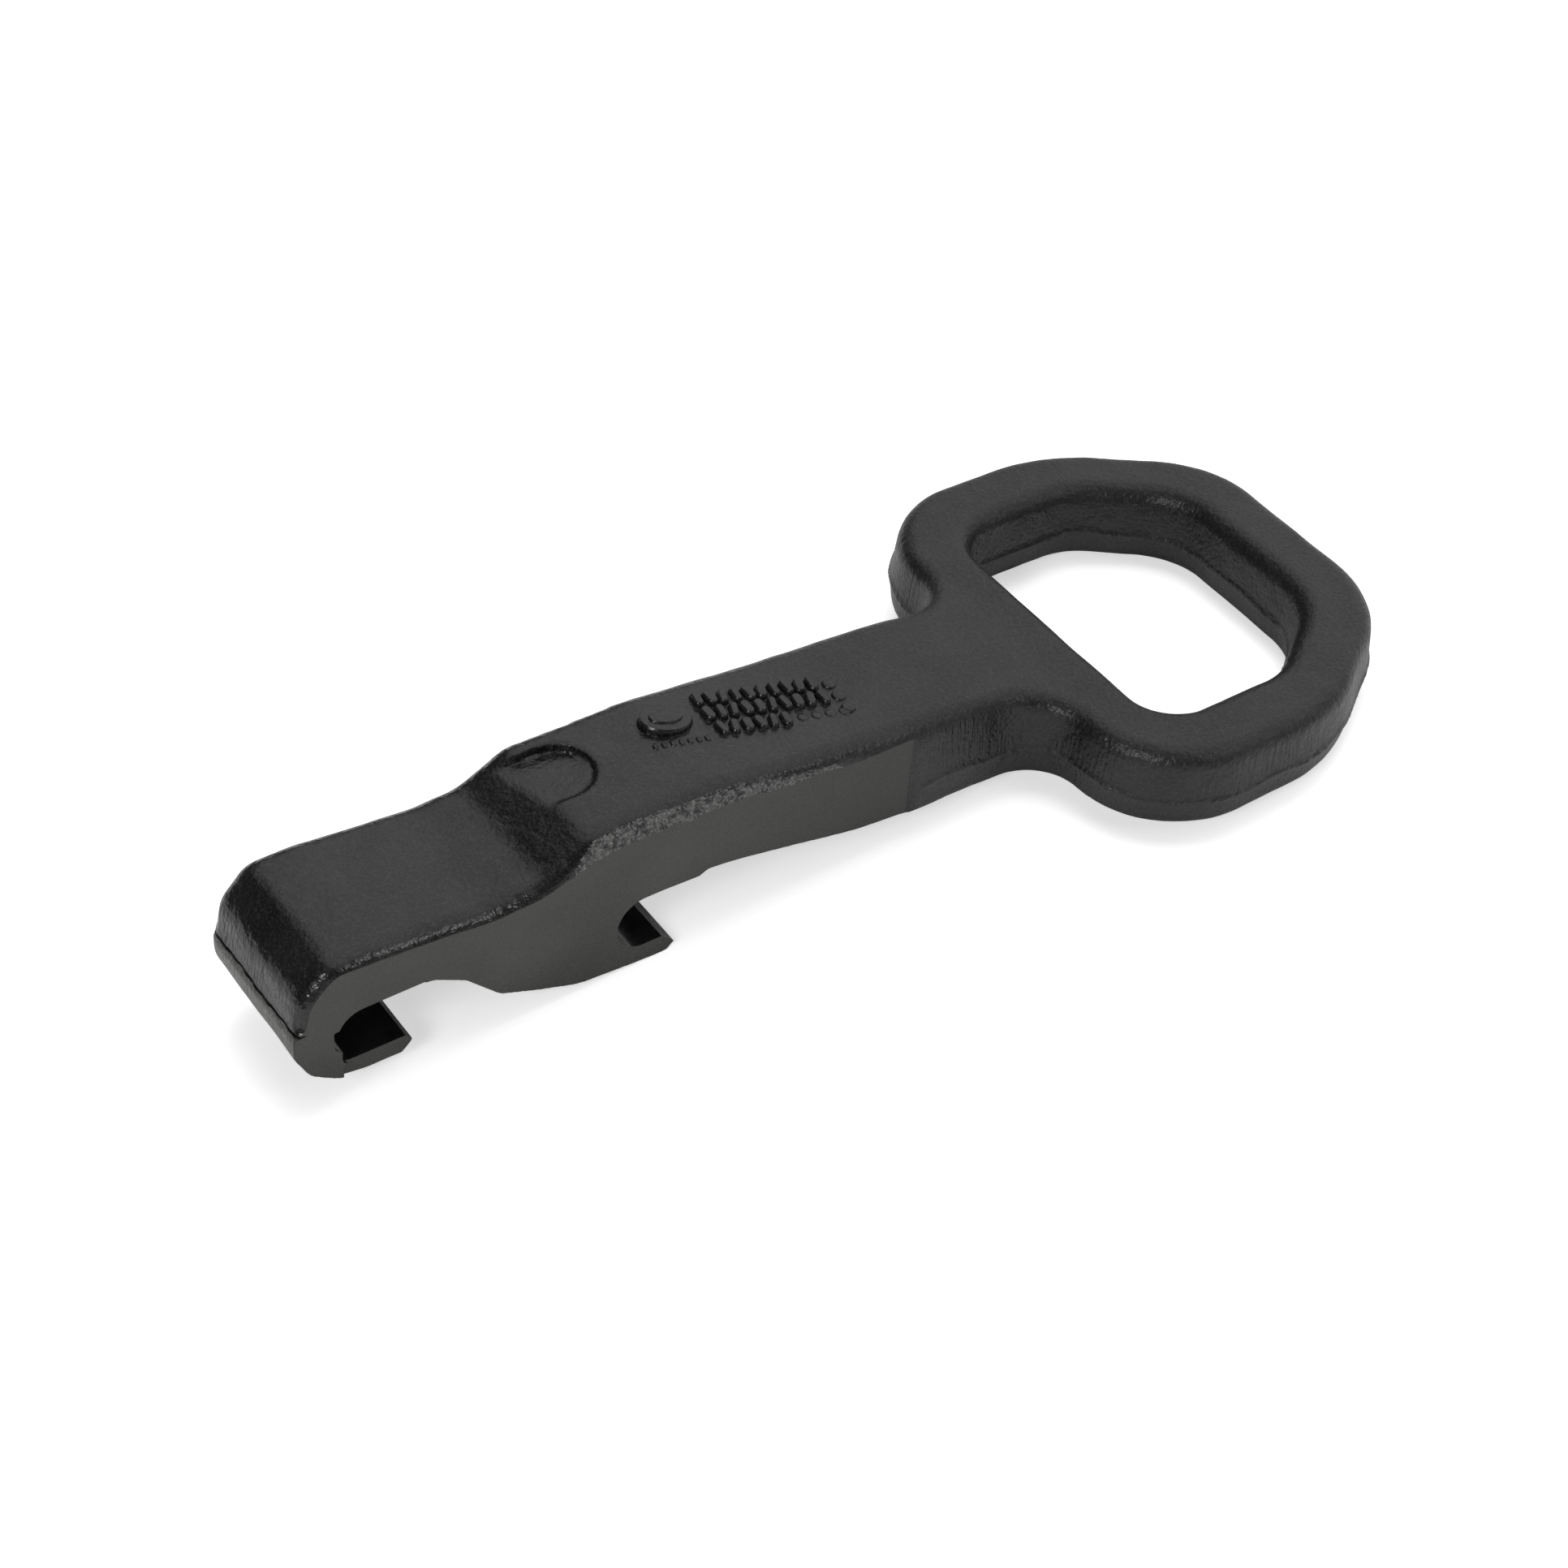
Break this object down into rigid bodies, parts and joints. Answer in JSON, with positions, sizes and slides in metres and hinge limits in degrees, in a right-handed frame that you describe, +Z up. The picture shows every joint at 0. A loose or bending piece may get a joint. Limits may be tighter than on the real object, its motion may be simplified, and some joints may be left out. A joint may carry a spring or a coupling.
{
  "type": "vehicle recovery hook",
  "caption": "One-piece forged steel recovery hook: closed eye for a strap or shackle, bent flat shank, hooked nose and a hooked belly, black painted.",
  "frame": {"origin": "on the eye's hole and the hook's middle plane, half way through the eye's thickness", "axes": "+X towards the eye's rounded outer end, -X towards the hooked nose, +Y towards the left side, +Z up, square to the eye's flat faces"},
  "size_m": [0.299, 0.1214, 0.044],
  "materials": {
    "black_paint": "satin black paint over a forged and part-milled surface"
  },
  "bodies": {
    "root": {"forged_hook": "black_paint"}
  },
  "joints": []
}
